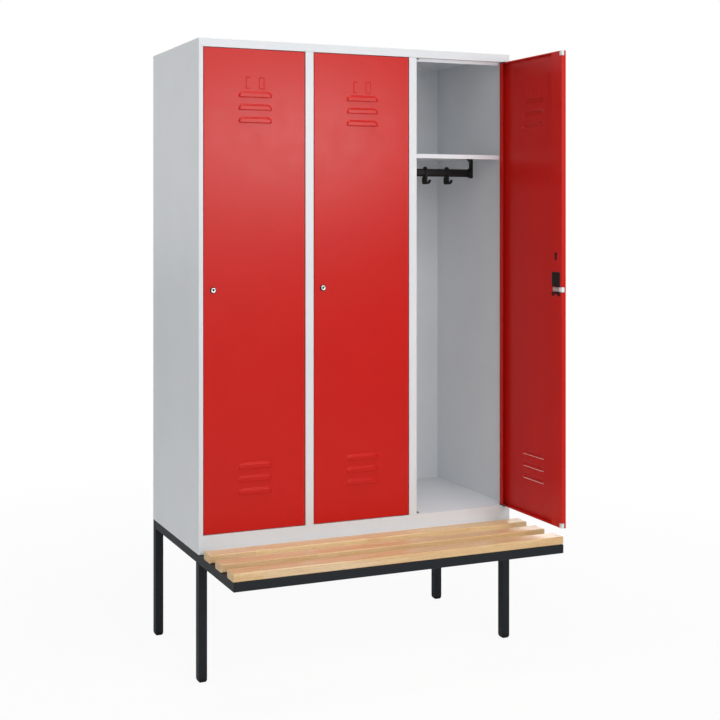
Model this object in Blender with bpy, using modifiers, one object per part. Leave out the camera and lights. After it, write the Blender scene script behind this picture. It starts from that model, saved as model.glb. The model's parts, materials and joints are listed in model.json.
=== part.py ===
"""Three-door steel locker standing on a tube frame that runs out in front as a slatted bench.

Metres, +Z up. The cabinet is drawn with x = 0 at its middle, y = 0 at its front face, y growing
to the back, and z = 0 at the floor. The empty that carries everything then moves it along y, so
that the world origin lies below the middle of the whole locker. Doors 1 and 2 are shut and
door 3 stands open.
"""
import math

import bmesh
import bpy
from mathutils import Matrix, Vector

# General
SEAM = 0.0003                # gap left between pieces that touch
CUT_EXTRA = 0.001            # how far a cutter runs past the face that it cuts

# Cabinet
COMPARTMENTS = 3
BODY_WIDTH = 1.200
BODY_DEPTH = 0.500
BODY_HEIGHT = 1.700
FRAME_TOP = 0.422            # height of the cabinet's underside above the floor
SHEET = 0.001                # sheet steel of the cabinet and the doors
STILE_WIDTH = 0.030          # upright face between two openings, the outer ones have half
STILE_DEPTH = 0.058
HINGE_LIP = 0.003            # stile face that stands past its return wall on the hinge side
REAR_FLANGE = 0.015
TOP_RAIL = 0.028
RETURN_PAST_LIP = 0.0004
BOTTOM_RAIL = 0.062
BASE_FLANGE = 0.025
FLOOR_DOWNTURN = 0.020
STOP_LIP_DROP = 0.011
STOP_LIP_FRONT = 0.0194      # stop lip's face, measured from the cabinet's front
STOP_LIP_END = 0.022         # lip ends this far short of the opening's hinge side
CEILING_HOLE_RADIUS = 0.007
CEILING_HOLE = (0.105, 0.024)     # right of the compartment's middle, and from the rear
FLOOR_HOLE_RADIUS = 0.005
FLOOR_HOLES = ((0.093, 0.036), (0.118, 0.024))

# Doors
DOOR_GAP = 0.002
DOOR_DEPTH = 0.017
LOCK_FLANGE = 0.057          # width of the flange behind the door's free edge
HINGE_FLANGE = 0.0195        # the same behind its hinge edge
DOOR_FOLD = 0.0018           # outer radius of the door's folded edges
PIVOT_FROM_EDGE = 0.0073
PIVOT_FROM_FRONT = 0.0090
DOOR_REST_ANGLES = (0.0, 0.0, math.radians(90))

# Louvres
LOUVRE_LENGTH = 0.121
LOUVRE_HEIGHT = 0.019
LOUVRE_DEPTH = 0.004
LOUVRE_PITCH = 0.0425
LOUVRES_IN_GROUP = 3
LOUVRE_END_ROUNDING = 0.85   # share of the louvre's height that its ends curve over
UPPER_LOUVRES_FROM_TOP = 0.160   # slit of the highest louvre below the door's top edge
LOWER_LOUVRES_FROM_BOTTOM = 0.123   # slit of the lowest louvre above the door's bottom edge

# Lock
LOCK_FROM_EDGE = 0.033
CYLINDER_RADIUS = 0.0095
CYLINDER_PROUD = 0.0055
KEY_SLOT = (0.0022, 0.0095, 0.0035)
ROSETTE_RADIUS = 0.012
ROSETTE_THICKNESS = 0.003
BUSHING_WALL = 0.001
TURN_CLEARANCE = 0.0003
CASE_FROM_EDGE = 0.011
CASE_WIDTH = 0.0425
CASE_BELOW_AXIS = 0.025
CASE_ABOVE_AXIS = 0.056
CASE_PROUD = 0.001
CASE_EDGE = 0.0012
FORK_WIDTH = 0.021
FORK_HEIGHT = 0.008
BOLT_HEIGHT = 0.019
BOLT_LENGTH = 0.050
BOLT_THICKNESS = 0.011
BOLT_DROP = 0.0025           # bolt's middle below the lock's axis
BOLT_TIP = 0.0094
BOLT_NECK_LENGTH = 0.0056
BOLT_NECK_HEIGHT = 0.012
BOLT_CORNER = 0.004
BOLT_CLEARANCE = 0.0003
STRIKE_SIDE_ROOM = 0.0015
SIGHT_HOLE_RADIUS = 0.0045
SIGHT_HOLE_ABOVE_AXIS = 0.116
SIGHT_SLOT_WIDTH = 0.005
SIGHT_SLOT_DROP = 0.0185     # from the middle of the hole to the slot's lower end

# Hinge pins and corner caps
PIN_RADIUS = 0.003
PIN_RISE = 0.006
PIN_PLATE_LENGTH = 0.033
PIN_PLATE_FRONT = 0.0023     # plate's distance from the door's front face
PIN_PLATE_INSET = 0.0005     # and from the door's hinge edge
PIN_PLATE_SUNK = 0.0022      # how far the plate sits in the notch in the door's end
CAP_LENGTH = 0.014
CAP_HEIGHT = 0.017
CAP_FROM_FRONT = 0.0065
CAP_EDGE = 0.0015

# Shelf, rail and hooks
SHELF_BELOW_TOP = 0.366      # shelf's top face below the cabinet's top
SHELF_DEPTH = 0.015
SHELF_FRONT = 0.022
RAIL_LENGTH = 0.308
RAIL_HEIGHT = 0.029
RAIL_THICKNESS = 0.015
RAIL_BELOW_SHELF = 0.059     # middle of the bar below the shelf's underside
RAIL_FROM_FRONT = 0.179
BRACKET_POST = 0.006
BRACKET_DEPTH = 0.019
BRACKET_BELOW_RAIL = 0.0045
GUSSET_REACH = 0.012
GUSSET_FOOT = 0.005
SOCKET_LENGTH = 0.008
SOCKET_WALL = 0.003
HOOK_THICKNESS = 0.008
HOOK_SPREAD = 0.046          # each hook's distance from the middle of its rail
HOOK_CLEARANCE = 0.0003
HOOK_RING_WALL = 0.0032
HOOK_CROWN = 0.0075
HOOK_DROP = 0.0285           # from the rail's underside to the hook's lowest point
HOOK_BACK = 0.017
HOOK_SHANK_CORNER = 0.009
PRONG_RADIUS = 0.022
PRONG_THICKNESS = 0.0065
PRONG_CENTRE_FORWARD = 0.016
PRONG_SWEEP = math.radians(70)

# Bench frame and seat
TUBE = 0.030
TUBE_WALL = 0.0015
TUBE_CORNER = 0.0025
BENCH_DEPTH = 0.315
SLATS = 3
SLAT_WIDTH = 0.055
SLAT_THICKNESS = 0.027
SLAT_CORNER = 0.004
FOOT_HEIGHT = 0.016
FOOT_ROUNDING_HEIGHT = 0.012
FOOT_ROUNDING_INSET = 0.0075
FOOT_PLUG = 0.015

# Sizes that follow from these
PITCH = BODY_WIDTH / COMPARTMENTS
CABINET_TOP = FRAME_TOP + BODY_HEIGHT
OPENING_WIDTH = PITCH - STILE_WIDTH
OPENING_BOTTOM = FRAME_TOP + BOTTOM_RAIL
OPENING_TOP = CABINET_TOP - TOP_RAIL
REAR_INSIDE = BODY_DEPTH - 2 * SHEET - SEAM
INNER_LENGTH = BODY_WIDTH - 2 * (SHEET + SEAM)
DOOR_WIDTH = OPENING_WIDTH - 2 * DOOR_GAP
DOOR_HEIGHT = OPENING_TOP - OPENING_BOTTOM - 2 * DOOR_GAP
DOOR_BOTTOM = OPENING_BOTTOM + DOOR_GAP
LOCK_HEIGHT = DOOR_HEIGHT / 2 + 0.001
BOLT_HEIGHT_ON_DOOR = LOCK_HEIGHT - BOLT_DROP
BOLT_FRONT = DOOR_DEPTH - BOLT_THICKNESS
TOP_RETURN = STOP_LIP_FRONT + SHEET + RETURN_PAST_LIP
SLAT_PITCH = BENCH_DEPTH / SLATS
SHELF_TOP = CABINET_TOP - SHELF_BELOW_TOP
SHELF_UNDERSIDE = SHELF_TOP - SHEET
RAIL_CENTRE_HEIGHT = SHELF_UNDERSIDE - RAIL_BELOW_SHELF
BAR_TOP = FRAME_TOP - SEAM
BAR_BOTTOM = BAR_TOP - TUBE
SWING_REACH = DOOR_WIDTH - PIVOT_FROM_EDGE - PIVOT_FROM_FRONT
CENTRE_Y = (BODY_DEPTH - SWING_REACH) / 2

# Turns an outline drawn in XY into one drawn in YZ and raised along X
YZ_ALONG_X = Matrix(((0, 0, 1), (1, 0, 0), (0, 1, 0))).to_4x4()
# Turns an outline drawn in XY into one drawn in XZ and raised along Y
XZ_ALONG_Y = Matrix(((1, 0, 0), (0, 0, -1), (0, 1, 0))).to_4x4()
# Takes door coordinates (free edge, front face, bottom edge) to the hinge's axis
DOOR_TO_HINGE = Matrix.Translation((PIVOT_FROM_EDGE - DOOR_WIDTH, -PIVOT_FROM_FRONT, 0))


def clear_scene():
    """Removes what the file starts with."""
    for item in list(bpy.data.objects):
        bpy.data.objects.remove(item)


def make_collection(name):
    """Adds a collection to the scene."""
    group = bpy.data.collections.new(name)
    bpy.context.scene.collection.children.link(group)
    return group


def finish(name, colour, roughness, metallic=0.0):
    """Principled material from a colour given as 0 to 255 screen values."""
    material = bpy.data.materials.new(name)
    material.use_nodes = True
    shader = material.node_tree.nodes["Principled BSDF"]
    linear = [((value / 255 + 0.055) / 1.055) ** 2.4 for value in colour]
    shader.inputs["Base Color"].default_value = (*linear, 1.0)
    shader.inputs["Roughness"].default_value = roughness
    shader.inputs["Metallic"].default_value = metallic
    return material


clear_scene()
PARTS = make_collection("locker_with_bench")
CUTTERS = make_collection("cutters")
GREY_PAINT = finish("grey_paint", (207, 210, 209), 0.45)
RED_PAINT = finish("red_paint", (190, 34, 30), 0.40)
FRAME_PAINT = finish("frame_paint", (40, 43, 46), 0.50)
BEECH = finish("beech", (212, 172, 128), 0.45)
BLACK_PLASTIC = finish("black_plastic", (25, 25, 26), 0.45)
PALE_PLASTIC = finish("pale_plastic", (222, 230, 228), 0.50)
BRIGHT_METAL = finish("bright_metal", (220, 223, 225), 0.25, 1.0)
BOLT_METAL = finish("bolt_metal", (176, 168, 166), 0.40, 0.6)


def add_empty(name, location, angle=0.0, parent=None):
    """Empty that carries pieces, turned about the vertical."""
    empty = bpy.data.objects.new(name, None)
    empty.location = location
    empty.rotation_euler = (0, 0, angle)
    empty.parent = parent
    PARTS.objects.link(empty)
    return empty


ROOT = add_empty("locker", (0, -CENTRE_Y, 0))


def add_piece(name, mesh, material, location=(0, 0, 0), parent=ROOT):
    """Puts a finished mesh in the model as a named piece."""
    mesh.materials.clear()
    mesh.materials.append(material)
    mesh.shade_smooth()
    mesh.set_sharp_from_angle(angle=math.radians(35))
    piece = bpy.data.objects.new(name, mesh)
    piece.location = location
    piece.parent = parent
    PARTS.objects.link(piece)
    return piece


def mesh_of(bm, name="shape"):
    """Turns a bmesh into a mesh with its faces pointing out."""
    bmesh.ops.recalc_face_normals(bm, faces=bm.faces)
    mesh = bpy.data.meshes.new(name)
    bm.to_mesh(mesh)
    bm.free()
    return mesh


def evaluated_mesh(carrier):
    """Mesh of an object with its modifiers applied, welded, after which the object goes."""
    bpy.context.view_layer.update()
    depsgraph = bpy.context.evaluated_depsgraph_get()
    mesh = bpy.data.meshes.new_from_object(carrier.evaluated_get(depsgraph))
    bpy.data.objects.remove(carrier)
    bm = bmesh.new()
    bm.from_mesh(mesh)
    bmesh.ops.remove_doubles(bm, verts=bm.verts, dist=0.000001)
    bm.to_mesh(mesh)
    bm.free()
    return mesh


def carrier_of(mesh_or_curve, name="tool"):
    """Hidden working object for a mesh or curve that is cut, cuts, or is evaluated."""
    carrier = bpy.data.objects.new(name, mesh_or_curve)
    carrier.display_type = "WIRE"
    carrier.hide_render = True
    CUTTERS.objects.link(carrier)
    return carrier


def combine(mesh, tools, operation="DIFFERENCE"):
    """Cuts the tool meshes out of a mesh, or joins them to it."""
    target = carrier_of(mesh)
    carriers = [carrier_of(tool) for tool in tools]
    for carrier in carriers:
        modifier = target.modifiers.new("combine", "BOOLEAN")
        modifier.operation = operation
        modifier.object = carrier
    result = evaluated_mesh(target)
    for carrier in carriers:
        bpy.data.objects.remove(carrier)
    return result


def moved(mesh, matrix):
    """The mesh, moved by a matrix."""
    mesh.transform(matrix)
    return mesh


def shifted(mesh, x=0.0, y=0.0, z=0.0):
    """The mesh, moved along the axes."""
    return moved(mesh, Matrix.Translation((x, y, z)))


def box(low, high):
    """Rectangular solid between two corners."""
    low, high = Vector(low), Vector(high)
    bm = bmesh.new()
    bmesh.ops.create_cube(bm, size=1.0)
    bmesh.ops.scale(bm, vec=high - low, verts=bm.verts)
    bmesh.ops.translate(bm, vec=(low + high) / 2, verts=bm.verts)
    return mesh_of(bm)


def eased_box(low, high, radius, segments=2):
    """Rectangular solid with all its edges rounded."""
    bm = bmesh.new()
    bm.from_mesh(box(low, high))
    bmesh.ops.bevel(bm, geom=bm.edges, offset=radius, segments=segments, profile=0.5, affect="EDGES")
    return mesh_of(bm)


def rod(radius, start, end, axis="Z", segments=24):
    """Round solid about one of the axes, from start to end along it."""
    bm = bmesh.new()
    bmesh.ops.create_cone(bm, cap_ends=True, segments=segments, radius1=radius, radius2=radius,
                          depth=end - start)
    bmesh.ops.translate(bm, vec=(0, 0, (start + end) / 2), verts=bm.verts)
    turn = {"Z": Matrix.Identity(3), "Y": Matrix.Rotation(-math.pi / 2, 3, "X")}[axis]
    bmesh.ops.transform(bm, matrix=turn.to_4x4(), verts=bm.verts)
    return mesh_of(bm)


def prism(loops, length):
    """Solid over an outline drawn in XY, with any holes, from z = 0 up to length."""
    curve = bpy.data.curves.new("outline", "CURVE")
    curve.dimensions = "2D"
    curve.fill_mode = "BOTH"
    curve.extrude = length / 2
    for loop in loops:
        spline = curve.splines.new("POLY")
        spline.points.add(len(loop) - 1)
        for point, (u, v) in zip(spline.points, loop):
            point.co = (u, v, 0, 1)
        spline.use_cyclic_u = True
    return shifted(evaluated_mesh(carrier_of(curve)), z=length / 2)


def without_repeats(loop):
    """The outline with points that fall on the one before left out."""
    return [point for index, point in enumerate(loop)
            if (Vector(point) - Vector(loop[index - 1])).length > SEAM / 10]


def rounded_rectangle(width, height, radius, steps=4):
    """Outline about the origin with its corners as arcs."""
    points = []
    for quarter, (side, rise) in enumerate(((1, 1), (-1, 1), (-1, -1), (1, -1))):
        centre = Vector((side * (width / 2 - radius), rise * (height / 2 - radius)))
        for step in range(steps + 1):
            angle = (quarter + step / steps) * math.pi / 2
            points.append(tuple(centre + radius * Vector((math.cos(angle), math.sin(angle)))))
    return without_repeats(points)


def arc(centre, radius, start, end, steps):
    """Points along an arc, from one angle to another."""
    angles = [start + (end - start) * step / steps for step in range(steps + 1)]
    return [(centre[0] + radius * math.cos(a), centre[1] + radius * math.sin(a)) for a in angles]


def sheet_outline(path):
    """Outline of a folded sheet, set off half its thickness to each side of its middle line."""
    path = [Vector(point) for point in path]
    steps = [(end - start).normalized() for start, end in zip(path, path[1:])]
    left, right = [], []
    for index, point in enumerate(path):
        before = steps[max(index - 1, 0)].orthogonal()
        after = steps[min(index, len(steps) - 1)].orthogonal()
        offset = (before + after) * SHEET / 2 / (1 + before.dot(after))
        left.append(tuple(point + offset))
        right.append(tuple(point - offset))
    return left + right[::-1]


def opening_left(index):
    """X of the free-edge side of a compartment's opening."""
    return -BODY_WIDTH / 2 + index * PITCH + STILE_WIDTH / 2


def opening_right(index):
    """X of the hinge side of a compartment's opening."""
    return opening_left(index) + OPENING_WIDTH


def compartment_middle(index):
    """X of the middle of a compartment."""
    return opening_left(index) + OPENING_WIDTH / 2


def pivot_x(index):
    """X of a door's hinge axis."""
    return opening_right(index) - DOOR_GAP - PIVOT_FROM_EDGE


def inner_walls(index):
    """X of the left and right wall faces inside a compartment."""
    half_web = SHEET / 2
    left = -BODY_WIDTH / 2 + index * PITCH + (SHEET if index == 0 else half_web)
    last = index == COMPARTMENTS - 1
    right = -BODY_WIDTH / 2 + (index + 1) * PITCH - (SHEET if last else half_web)
    return left, right


def upright_loops(face, web, flange_end, rear, lips):
    """Plan of an upright: a box stile at the front and a web that ends in a rear flange."""
    left, right = face
    web_left, web_right = web
    left_wall, right_wall = left + lips[0], right - lips[1]
    outer = [(left, 0), (right, 0), (right, SHEET), (right_wall, SHEET),
             (right_wall, STILE_DEPTH), (web_right, STILE_DEPTH), (web_right, rear - SHEET),
             (flange_end, rear - SHEET), (flange_end, rear), (web_left, rear),
             (web_left, STILE_DEPTH), (left_wall, STILE_DEPTH), (left_wall, SHEET), (left, SHEET)]
    hollow = [(left_wall + SHEET, SHEET), (right_wall - SHEET, SHEET),
              (right_wall - SHEET, STILE_DEPTH - SHEET), (left_wall + SHEET, STILE_DEPTH - SHEET)]
    return [without_repeats(outer), hollow]


def strike_slot(edge):
    """Cutter for the slot that the bolt enters, in the stile wall at an opening's free edge."""
    middle = DOOR_BOTTOM + BOLT_HEIGHT_ON_DOOR
    half = BOLT_HEIGHT / 2 + STRIKE_SIDE_ROOM
    return box((edge - SHEET - CUT_EXTRA, BOLT_FRONT - STRIKE_SIDE_ROOM, middle - half),
               (edge + CUT_EXTRA, DOOR_DEPTH + STRIKE_SIDE_ROOM, middle + half))


def top_rail_room(low_x, high_x):
    """Cutter that clears an upright for the top rail's return."""
    return box((low_x, -CUT_EXTRA, OPENING_TOP - SEAM),
               (high_x, TOP_RETURN + SEAM, CABINET_TOP + CUT_EXTRA))


def add_side_panels():
    """Skins with half a stile each; the right one carries the hinge lip of the last door."""
    half_stile = STILE_WIDTH / 2
    length = BODY_HEIGHT
    edge = BODY_WIDTH / 2
    inside = edge - SHEET - SEAM
    for side, name, lip in ((-1, "side_panel_left", 0.0), (1, "side_panel_right", HINGE_LIP)):
        loops = upright_loops((0, half_stile), (0, SHEET), REAR_FLANGE, BODY_DEPTH, (0.0, lip))
        mesh = shifted(prism(loops, length), x=-edge, z=FRAME_TOP)
        reach = edge - half_stile - REAR_FLANGE
        floor_room = box((-inside, -CUT_EXTRA, FRAME_TOP - CUT_EXTRA),
                         (-reach, BODY_DEPTH - SHEET - SEAM, OPENING_BOTTOM + SEAM))
        sheet_room = box((-inside, -CUT_EXTRA, CABINET_TOP - SHEET - SEAM),
                         (-reach, BODY_DEPTH - SHEET - SEAM, CABINET_TOP + CUT_EXTRA))
        tools = [floor_room, sheet_room, top_rail_room(-inside, -reach)]
        if side < 0:
            tools.append(strike_slot(opening_left(0)))
        mesh = combine(mesh, tools)
        if side > 0:
            mesh = moved(mesh, Matrix.Scale(-1, 4, (1, 0, 0)))
            mesh.flip_normals()
        add_piece(name, mesh, GREY_PAINT)


def add_partitions():
    """Webs between compartments, each with a stile that serves two doors."""
    half_stile, half_web = STILE_WIDTH / 2, SHEET / 2
    bottom = OPENING_BOTTOM + SEAM
    top = CABINET_TOP - SHEET - SEAM
    rear = REAR_INSIDE - SEAM
    names = ("partition_left", "partition_right")
    for index, name in enumerate(names, start=1):
        middle = -BODY_WIDTH / 2 + index * PITCH
        loops = upright_loops((-half_stile, half_stile), (-half_web, half_web), REAR_FLANGE,
                              rear, (HINGE_LIP, 0.0))
        mesh = shifted(prism(loops, top - bottom), x=middle, z=bottom)
        tools = [strike_slot(opening_left(index)),
                 top_rail_room(middle - half_stile - CUT_EXTRA, middle + half_stile + CUT_EXTRA)]
        add_piece(name, combine(mesh, tools), GREY_PAINT)


def level_hole(radius, x, y, height):
    """Cutter for a round hole through a level sheet."""
    hole = rod(radius, height - SHEET - CUT_EXTRA, height + SHEET + CUT_EXTRA, segments=16)
    return shifted(hole, x=x, y=y)


def pin_hole(index, height):
    """Cutter for a hinge pin's hole."""
    return level_hole(PIN_RADIUS + TURN_CLEARANCE, pivot_x(index), PIVOT_FROM_FRONT, height)


def rear_hole(index, radius, place, height):
    """Cutter for a hole near the rear of a compartment."""
    across, from_rear = place
    return level_hole(radius, compartment_middle(index) + across, BODY_DEPTH - from_rear, height)


def add_top_panel():
    """Top sheet folded down into the front rail, with a stop lip behind each door's top."""
    half = SHEET / 2
    rear = BODY_DEPTH - SHEET - SEAM
    path = [(rear, CABINET_TOP - half), (half, CABINET_TOP - half), (half, OPENING_TOP + half),
            (TOP_RETURN, OPENING_TOP + half)]
    mesh = shifted(moved(prism([sheet_outline(path)], INNER_LENGTH), YZ_ALONG_X), x=-INNER_LENGTH / 2)
    lips = [box((opening_left(index) + SEAM, STOP_LIP_FRONT, OPENING_TOP - STOP_LIP_DROP),
                (opening_right(index) - STOP_LIP_END, STOP_LIP_FRONT + SHEET, OPENING_TOP + half))
            for index in range(COMPARTMENTS)]
    holes = [pin_hole(index, OPENING_TOP + half) for index in range(COMPARTMENTS)]
    holes += [rear_hole(index, CEILING_HOLE_RADIUS, CEILING_HOLE, CABINET_TOP - half)
              for index in range(COMPARTMENTS)]
    add_piece("top_panel", combine(combine(mesh, lips, "UNION"), holes), GREY_PAINT)


def add_floor_panel():
    """Floor sheet with the high front rail, its base flange and a downturn at the rear."""
    half = SHEET / 2
    rear = REAR_INSIDE - SEAM - half
    path = [(BASE_FLANGE, FRAME_TOP + half), (half, FRAME_TOP + half),
            (half, OPENING_BOTTOM - half), (rear, OPENING_BOTTOM - half),
            (rear, OPENING_BOTTOM - FLOOR_DOWNTURN)]
    mesh = shifted(moved(prism([sheet_outline(path)], INNER_LENGTH), YZ_ALONG_X), x=-INNER_LENGTH / 2)
    holes = [pin_hole(index, OPENING_BOTTOM - half) for index in range(COMPARTMENTS)]
    holes += [rear_hole(index, FLOOR_HOLE_RADIUS, place, OPENING_BOTTOM - half)
              for index in range(COMPARTMENTS) for place in FLOOR_HOLES]
    add_piece("floor_panel", combine(mesh, holes), GREY_PAINT)


def add_rear_panel():
    """Plain sheet set inside the side panels' rear flanges."""
    mesh = box((-INNER_LENGTH / 2, REAR_INSIDE, FRAME_TOP),
               (INNER_LENGTH / 2, REAR_INSIDE + SHEET, CABINET_TOP - SHEET - SEAM))
    add_piece("rear_panel", mesh, GREY_PAINT)


def shelf_mesh(index):
    """Sheet notched round the stiles, with all its edges folded down."""
    wall_left, wall_right = (wall + step * SEAM for wall, step in zip(inner_walls(index), (1, -1)))
    front_left = opening_left(index) + SEAM
    front_right = opening_right(index) + HINGE_LIP - SEAM
    notch = STILE_DEPTH + SEAM
    rear = REAR_INSIDE - SHEET - 2 * SEAM
    plan = [(front_left, SHELF_FRONT), (front_right, SHELF_FRONT), (front_right, notch),
            (wall_right, notch), (wall_right, rear), (wall_left, rear), (wall_left, notch),
            (front_left, notch)]
    bm = bmesh.new()
    sheet = bm.faces.new([bm.verts.new((x, y, SHELF_TOP)) for x, y in plan])
    skirt = bmesh.ops.extrude_face_region(bm, geom=[sheet], use_keep_orig=True)["geom"]
    bmesh.ops.translate(bm, vec=(0, 0, -SHELF_DEPTH),
                        verts=[item for item in skirt if isinstance(item, bmesh.types.BMVert)])
    bmesh.ops.delete(bm, geom=[item for item in skirt if isinstance(item, bmesh.types.BMFace)],
                     context="FACES")
    return thickened(mesh_of(bm))


def thickened(mesh, fold=0.0):
    """Gives an open sheet surface its thickness, inwards, after rounding its folds."""
    carrier = carrier_of(mesh)
    if fold:
        bevel = carrier.modifiers.new("fold", "BEVEL")
        bevel.width = fold
        bevel.segments = 2
        bevel.limit_method = "ANGLE"
    wall = carrier.modifiers.new("sheet", "SOLIDIFY")
    wall.thickness = SHEET
    wall.offset = -1.0
    wall.use_even_offset = True
    return evaluated_mesh(carrier)


def bracket_mesh():
    """Hanging bracket at the rail's right end: post, foot with gusset, and socket for the bar."""
    bottom = -RAIL_HEIGHT / 2 - BRACKET_BELOW_RAIL
    top = SHELF_UNDERSIDE - SEAM - RAIL_CENTRE_HEIGHT
    end = RAIL_LENGTH / 2
    inner = end - BRACKET_POST
    tip = inner - GUSSET_REACH
    corner = BRACKET_POST / 2
    outline = arc((end - corner, bottom + corner), corner, -math.pi / 2, 0, 4)
    outline += [(end, top), (tip, top), (tip, top - GUSSET_FOOT),
                (inner, top - GUSSET_FOOT - GUSSET_REACH), (inner, bottom)]
    post = shifted(moved(prism([outline], BRACKET_DEPTH), XZ_ALONG_Y), y=BRACKET_DEPTH / 2)
    oval = rounded_rectangle(RAIL_THICKNESS + 2 * SOCKET_WALL, RAIL_HEIGHT + 2 * SOCKET_WALL,
                             RAIL_THICKNESS / 2 + SOCKET_WALL, 5)
    socket = moved(prism([oval], SOCKET_LENGTH + corner), YZ_ALONG_X)
    return combine(post, [shifted(socket, x=inner - SOCKET_LENGTH)], "UNION")


def rail_mesh():
    """Oval bar with a bracket at each end, about the middle of the bar."""
    oval = rounded_rectangle(RAIL_THICKNESS, RAIL_HEIGHT, RAIL_THICKNESS / 2, 5)
    length = RAIL_LENGTH - BRACKET_POST
    bar = shifted(moved(prism([oval], length), YZ_ALONG_X), x=-length / 2)
    left = moved(bracket_mesh(), Matrix.Scale(-1, 4, (1, 0, 0)))
    left.flip_normals()
    return combine(bar, [bracket_mesh(), left], "UNION")


def hook_mesh():
    """Sliding hook: a ring round the bar, a shank below it and a prong rising at the front."""
    half_bar = RAIL_THICKNESS / 2 + HOOK_CLEARANCE
    side = half_bar + HOOK_RING_WALL
    crown = RAIL_HEIGHT / 2 + HOOK_CLEARANCE + HOOK_CROWN - side
    lowest = -RAIL_HEIGHT / 2 - HOOK_DROP
    shoulder = -RAIL_HEIGHT / 2
    prong = (-PRONG_CENTRE_FORWARD, lowest + PRONG_RADIUS)
    inner = PRONG_RADIUS - PRONG_THICKNESS
    root = -math.pi / 2 + math.asin((PRONG_CENTRE_FORWARD - side) / inner)
    tip = -math.pi / 2 - PRONG_SWEEP
    corner = HOOK_SHANK_CORNER
    outline = arc((0, crown), side, 0, math.pi, 8)
    outline += arc(prong, inner, root, tip, 5)
    outline += arc(prong, PRONG_RADIUS, tip, -math.pi / 2, 5)
    outline += arc((HOOK_BACK - corner, lowest + corner), corner, -math.pi / 2, 0, 4)
    outline += [(HOOK_BACK, shoulder - corner / 2), (side, shoulder)]
    bore = rounded_rectangle(2 * half_bar, RAIL_HEIGHT + 2 * HOOK_CLEARANCE, half_bar, 5)
    return shifted(moved(prism([outline, bore], HOOK_THICKNESS), YZ_ALONG_X), x=-HOOK_THICKNESS / 2)


def add_insides():
    """Shelf, clothes rail and two sliding hooks in each compartment."""
    rail, hook = rail_mesh(), hook_mesh()
    for index in range(COMPARTMENTS):
        number = index + 1
        middle = compartment_middle(index)
        add_piece(f"hat_shelf_{number}", shelf_mesh(index), GREY_PAINT)
        place = (middle, RAIL_FROM_FRONT, RAIL_CENTRE_HEIGHT)
        add_piece(f"clothes_rail_{number}", rail, BLACK_PLASTIC, place)
        for side, word in ((-1, "left"), (1, "right")):
            spot = (middle + side * HOOK_SPREAD, RAIL_FROM_FRONT, RAIL_CENTRE_HEIGHT)
            add_piece(f"coat_hook_{number}_{word}", hook, BLACK_PLASTIC, spot)


def tray_mesh():
    """Door sheet: a face, four folded edges and a flange behind each upright edge."""
    bm = bmesh.new()
    bm.from_mesh(box((0, 0, 0), (DOOR_WIDTH, DOOR_DEPTH, DOOR_HEIGHT)))
    flange_edges = (LOCK_FLANGE, DOOR_WIDTH - HINGE_FLANGE)
    for cut in flange_edges:
        everything = bm.verts[:] + bm.edges[:] + bm.faces[:]
        bmesh.ops.bisect_plane(bm, geom=everything, plane_co=(cut, 0, 0), plane_no=(1, 0, 0))
    bm.normal_update()
    middle = [face for face in bm.faces if face.normal.y > 0.5
              and flange_edges[0] < face.calc_center_median().x < flange_edges[1]]
    bmesh.ops.delete(bm, geom=middle, context="FACES_ONLY")
    return thickened(mesh_of(bm), DOOR_FOLD)


def louvre_solid(length, height, depth, bottom, back):
    """Upper front part of a flattened round-ended bar, cut off at the slit and at the back."""
    bm = bmesh.new()
    bmesh.ops.create_cone(bm, cap_ends=True, segments=16, radius1=1, radius2=1,
                          depth=length / height)
    rims = [edge for edge in bm.edges if abs(edge.verts[0].co.z - edge.verts[1].co.z) < 0.001]
    bmesh.ops.bevel(bm, geom=rims, offset=LOUVRE_END_ROUNDING, segments=3, profile=0.5, affect="EDGES")
    bmesh.ops.rotate(bm, matrix=Matrix.Rotation(math.pi / 2, 3, "Y"), verts=bm.verts)
    bmesh.ops.scale(bm, vec=(height, depth, height), verts=bm.verts)
    for point, normal in (((0, 0, bottom), (0, 0, -1)), ((0, back, 0), (0, 1, 0))):
        everything = bm.verts[:] + bm.edges[:] + bm.faces[:]
        cut = bmesh.ops.bisect_plane(bm, geom=everything, plane_co=point, plane_no=normal,
                                     clear_outer=True)["geom_cut"]
        bmesh.ops.edgenet_fill(bm, edges=[e for e in cut if isinstance(e, bmesh.types.BMEdge)])
    return mesh_of(bm)


def louvre_heights():
    """Heights of the slits above the door's bottom edge."""
    top = DOOR_HEIGHT - UPPER_LOUVRES_FROM_TOP
    lows = [LOWER_LOUVRES_FROM_BOTTOM + step * LOUVRE_PITCH for step in range(LOUVRES_IN_GROUP)]
    highs = [top - step * LOUVRE_PITCH for step in range(LOUVRES_IN_GROUP)]
    return lows + highs


def louvred(mesh):
    """Presses the louvres out of a door sheet: hoods joined on, then hollowed from behind."""
    hoods, cores = [], []
    for height in louvre_heights():
        hood = louvre_solid(LOUVRE_LENGTH, LOUVRE_HEIGHT, LOUVRE_DEPTH, 0.0, SHEET / 2)
        core = louvre_solid(LOUVRE_LENGTH - 2 * SHEET, LOUVRE_HEIGHT - SHEET, LOUVRE_DEPTH - SHEET,
                            -SHEET / 2, SHEET * 1.5)
        for shape, group in ((hood, hoods), (core, cores)):
            group.append(shifted(shape, x=DOOR_WIDTH / 2, z=height))
    return combine(combine(mesh, hoods, "UNION"), cores)


def fork_arch(play, start, end):
    """Arched shape between the prongs at the lock case's foot, smaller all round by some play."""
    arch = moved(rod(1.0, start, end, "Y", 16),
                 Matrix.Diagonal((FORK_WIDTH / 2 - play, 1, FORK_HEIGHT - play, 1)))
    return shifted(arch, x=CASE_FROM_EDGE + CASE_WIDTH / 2, z=LOCK_HEIGHT - CASE_BELOW_AXIS)


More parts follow.
